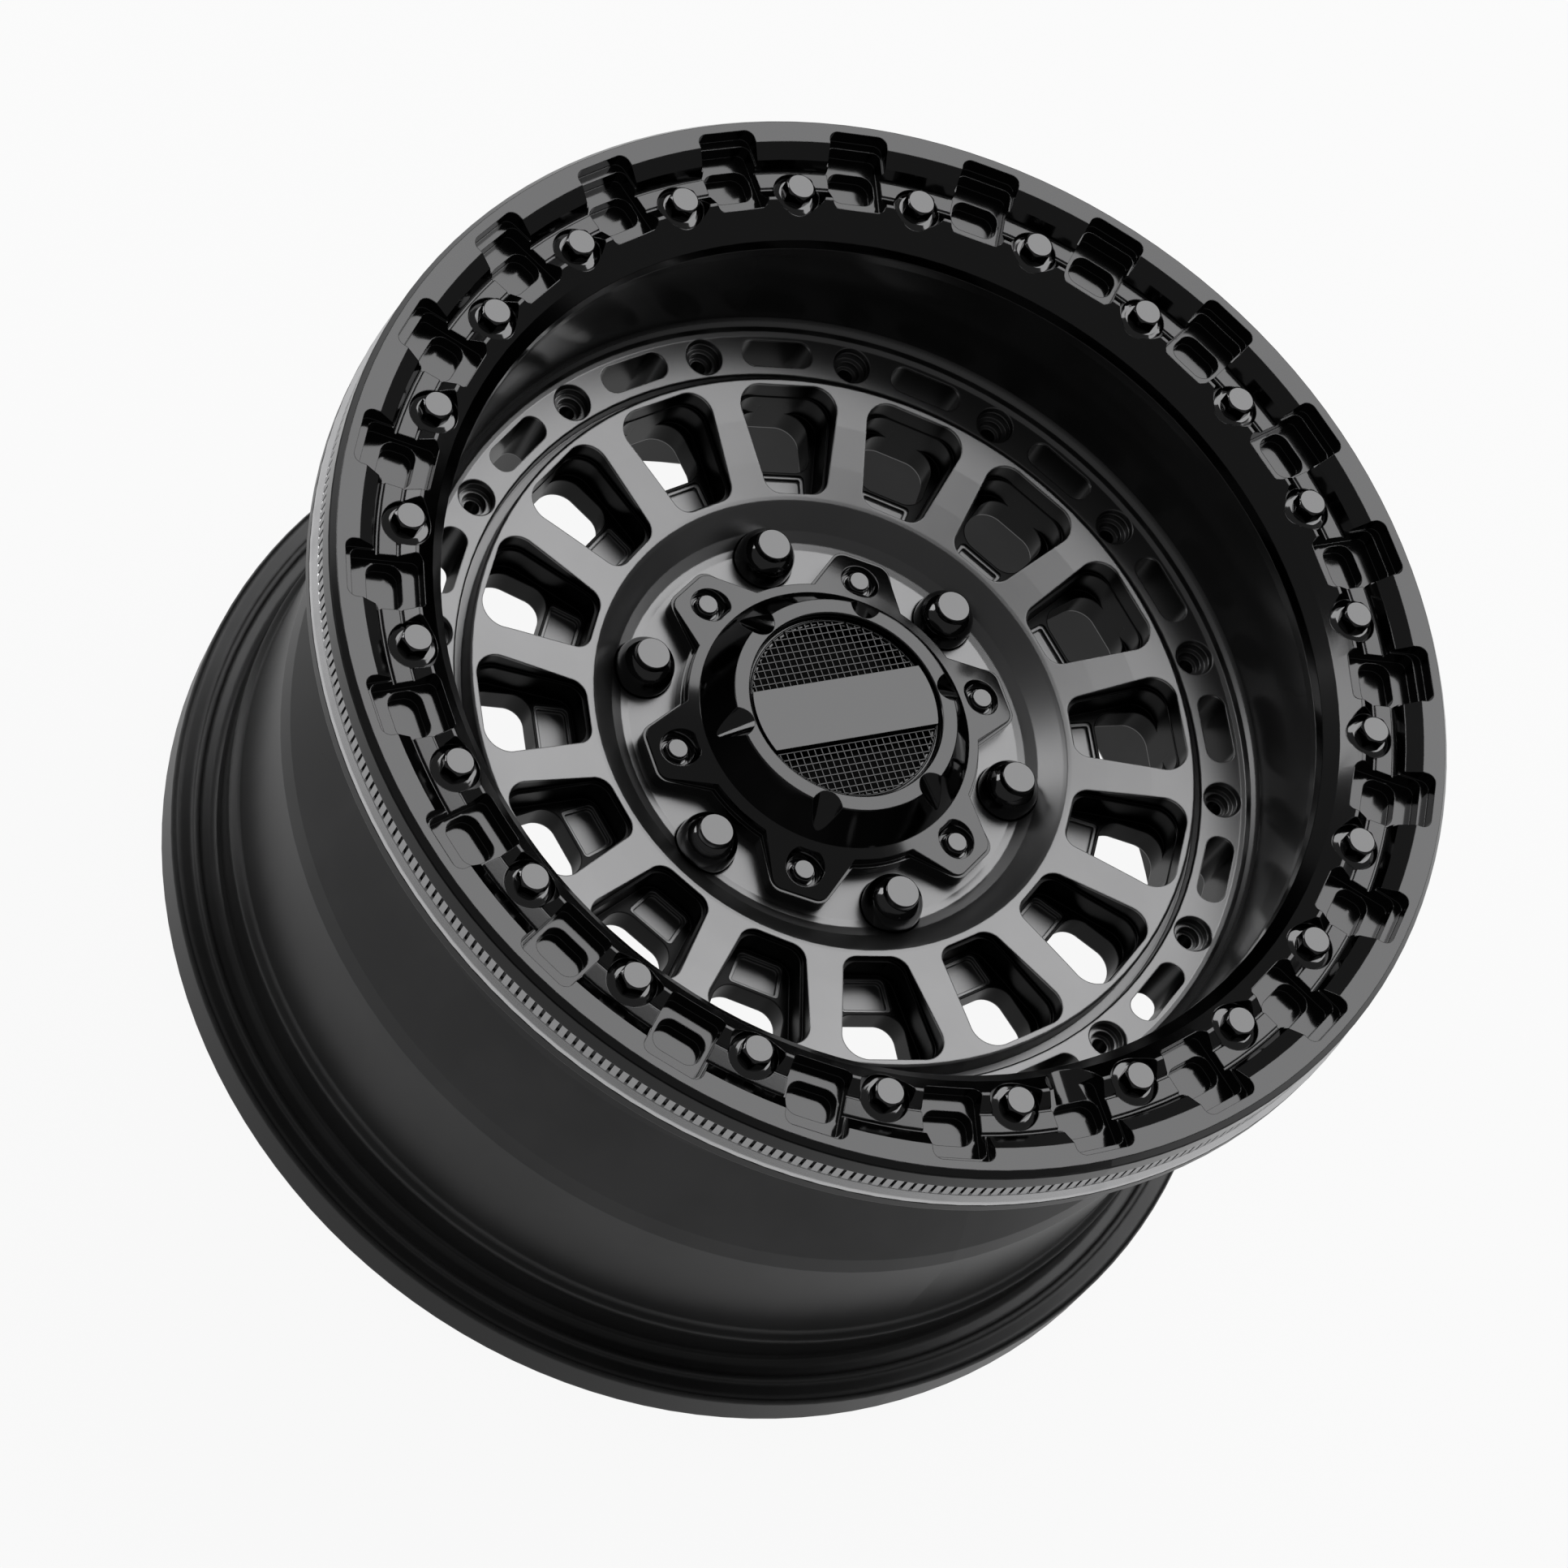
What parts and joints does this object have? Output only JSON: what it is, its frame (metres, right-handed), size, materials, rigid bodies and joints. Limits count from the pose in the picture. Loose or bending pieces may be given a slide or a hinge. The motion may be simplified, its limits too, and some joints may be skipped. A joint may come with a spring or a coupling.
{
  "type": "wheel",
  "caption": "Deep-dish light-truck wheel with bolted bead-lock ring, spoked disc with rounded windows, lug nuts and a lobed screw-on centre cap.",
  "frame": {"origin": "spin axis at the lowest plane of the rear flange, on which the wheel lies", "axes": "+Z along the spin axis towards the outer face, +X towards the valve notch of the clamp ring"},
  "size_m": [0.4137, 0.4138, 0.2263],
  "materials": {
    "satin_alloy": "satin dark grey powder coat on cast alloy",
    "ring_black": "gloss black anodised alloy",
    "bright_alloy": "machined bright",
    "bolt_black": "black coated steel",
    "nut_black": "gloss black plated steel",
    "cap_black": "gloss black",
    "mesh_black": "satin black",
    "band_grey": "satin grey"
  },
  "bodies": {
    "root": {"wheel_casting": "satin_alloy", "beadlock_ring": "ring_black", "bead_grip_ring": "bright_alloy", "beadlock_bolts": "bolt_black", "lug_nuts": "nut_black", "centre_cap": "cap_black", "cap_screws": "bolt_black", "cap_mesh": "mesh_black", "cap_band": "band_grey"}
  },
  "joints": []
}
